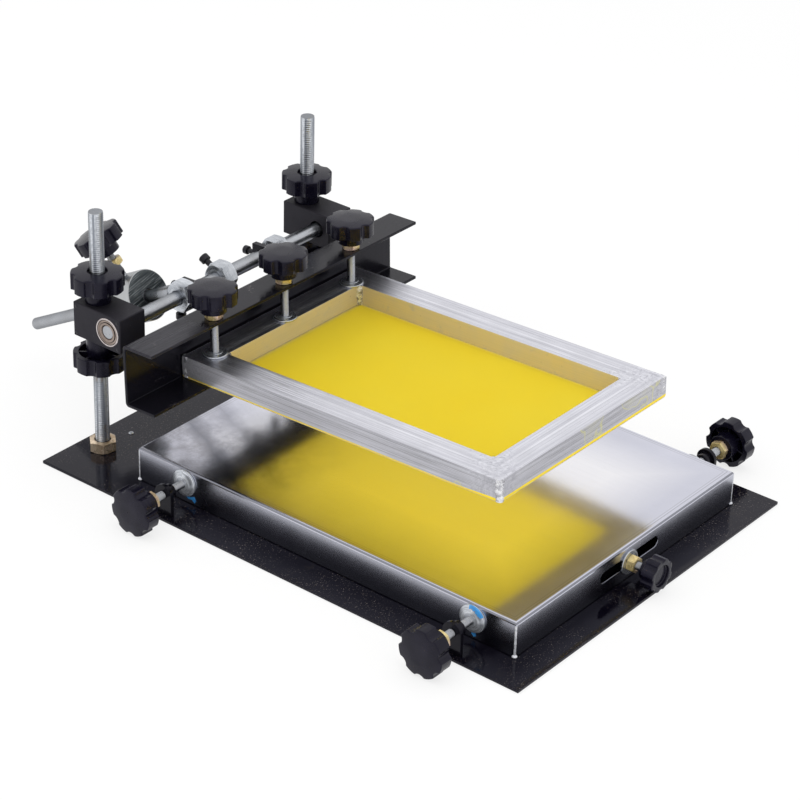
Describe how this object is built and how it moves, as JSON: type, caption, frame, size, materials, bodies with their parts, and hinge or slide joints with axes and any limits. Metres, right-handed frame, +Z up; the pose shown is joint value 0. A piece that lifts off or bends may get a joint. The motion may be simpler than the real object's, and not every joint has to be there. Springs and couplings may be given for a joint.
{
  "type": "manual screen printing press",
  "caption": "Bench screen printing press: a hinged beam clamps a screen frame over a register platen, with a counterweight behind and knobs that set height and position.",
  "frame": {"origin": "centre of the base plate's underside", "axes": "+X along the hinge shaft to the operator's right, +Y from the operator to the hinge, +Z up"},
  "size_m": [0.479, 0.7144, 0.251],
  "materials": {
    "gloss_black": "gloss black paint",
    "satin_black": "satin black, worn at the edges",
    "knob_black": "moulded, slightly grained",
    "bolt_black": "black oxide",
    "zinc": "bright zinc plate",
    "yellow_zinc": "yellow passivated zinc plate",
    "bearing_steel": "ground",
    "frame_aluminium": "mill finish, welded corners",
    "mesh_yellow": "fine plain weave, stretched",
    "platen_steel": "rolled stainless sheet",
    "weight_steel": "turned side, sawn face"
  },
  "bodies": {
    "base": {"base_plate": "gloss_black", "left_rod": "zinc", "right_rod": "zinc", "foot_nuts": "yellow_zinc", "screw_brackets": "satin_black", "front_anchor": "satin_black"},
    "carriage": {"left_block": "satin_black", "right_block": "satin_black", "left_bearing": "bearing_steel", "right_bearing": "bearing_steel", "left_upper_knob": "knob_black", "left_lower_knob": "knob_black", "right_upper_knob": "knob_black", "right_lower_knob": "knob_black"},
    "screen_arm": {"hinge_shaft": "zinc", "clamp_beam": "satin_black", "weight_collar": "zinc", "shaft_collars": "zinc", "collar_screws": "bolt_black", "frame_front_bar": "frame_aluminium", "frame_rear_bar": "frame_aluminium", "frame_left_bar": "frame_aluminium", "frame_right_bar": "frame_aluminium", "screen_mesh": "mesh_yellow", "clamp_screws": "zinc", "clamp_nuts": "yellow_zinc", "clamp_knob_left": "knob_black", "clamp_knob_middle": "knob_black", "clamp_knob_right": "knob_black", "weight_rod": "zinc"},
    "weight_slider": {"counterweight": "weight_steel", "lock_screw": "zinc", "lock_nut": "yellow_zinc", "lock_knob": "knob_black"},
    "side_register": {"side_screws": "zinc", "side_nuts": "yellow_zinc", "left_front_side_knob": "knob_black", "left_rear_side_knob": "knob_black", "right_front_side_knob": "knob_black", "right_rear_side_knob": "knob_black"},
    "platen_body": {"platen": "platen_steel"},
    "front_register": {"front_screw": "zinc", "front_washer": "zinc", "front_nut": "zinc", "front_knob": "knob_black"}
  },
  "joints": [
    {"name": "hinge_height", "type": "slide", "parent": "base", "child": "carriage", "axis": [0, 0, 1], "range_m": [-0.045, 0.055]},
    {"name": "screen_lift", "type": "hinge", "parent": "carriage", "child": "screen_arm", "pos_m": [0, 0.227, 0.143], "axis": [-1, 0, 0], "range_deg": [-2, 39]},
    {"name": "counterweight_slide", "type": "slide", "parent": "screen_arm", "child": "weight_slider", "axis": [0, 0.8797, -0.4756], "range_m": [-0.015, 0.12]},
    {"name": "platen_shift_x", "type": "slide", "parent": "base", "child": "side_register", "axis": [1, 0, 0], "range_m": [-0.003, 0.003]},
    {"name": "platen_shift_y", "type": "slide", "parent": "side_register", "child": "platen_body", "axis": [0, 1, 0], "range_m": [-0.006, 0.006]},
    {"name": "front_screw_shift", "type": "slide", "parent": "base", "child": "front_register", "axis": [0, 1, 0], "range_m": [-0.006, 0.006]}
  ],
  "couplings": [
    {"joint": "front_screw_shift", "follows": "platen_shift_y", "ratio": 1}
  ]
}
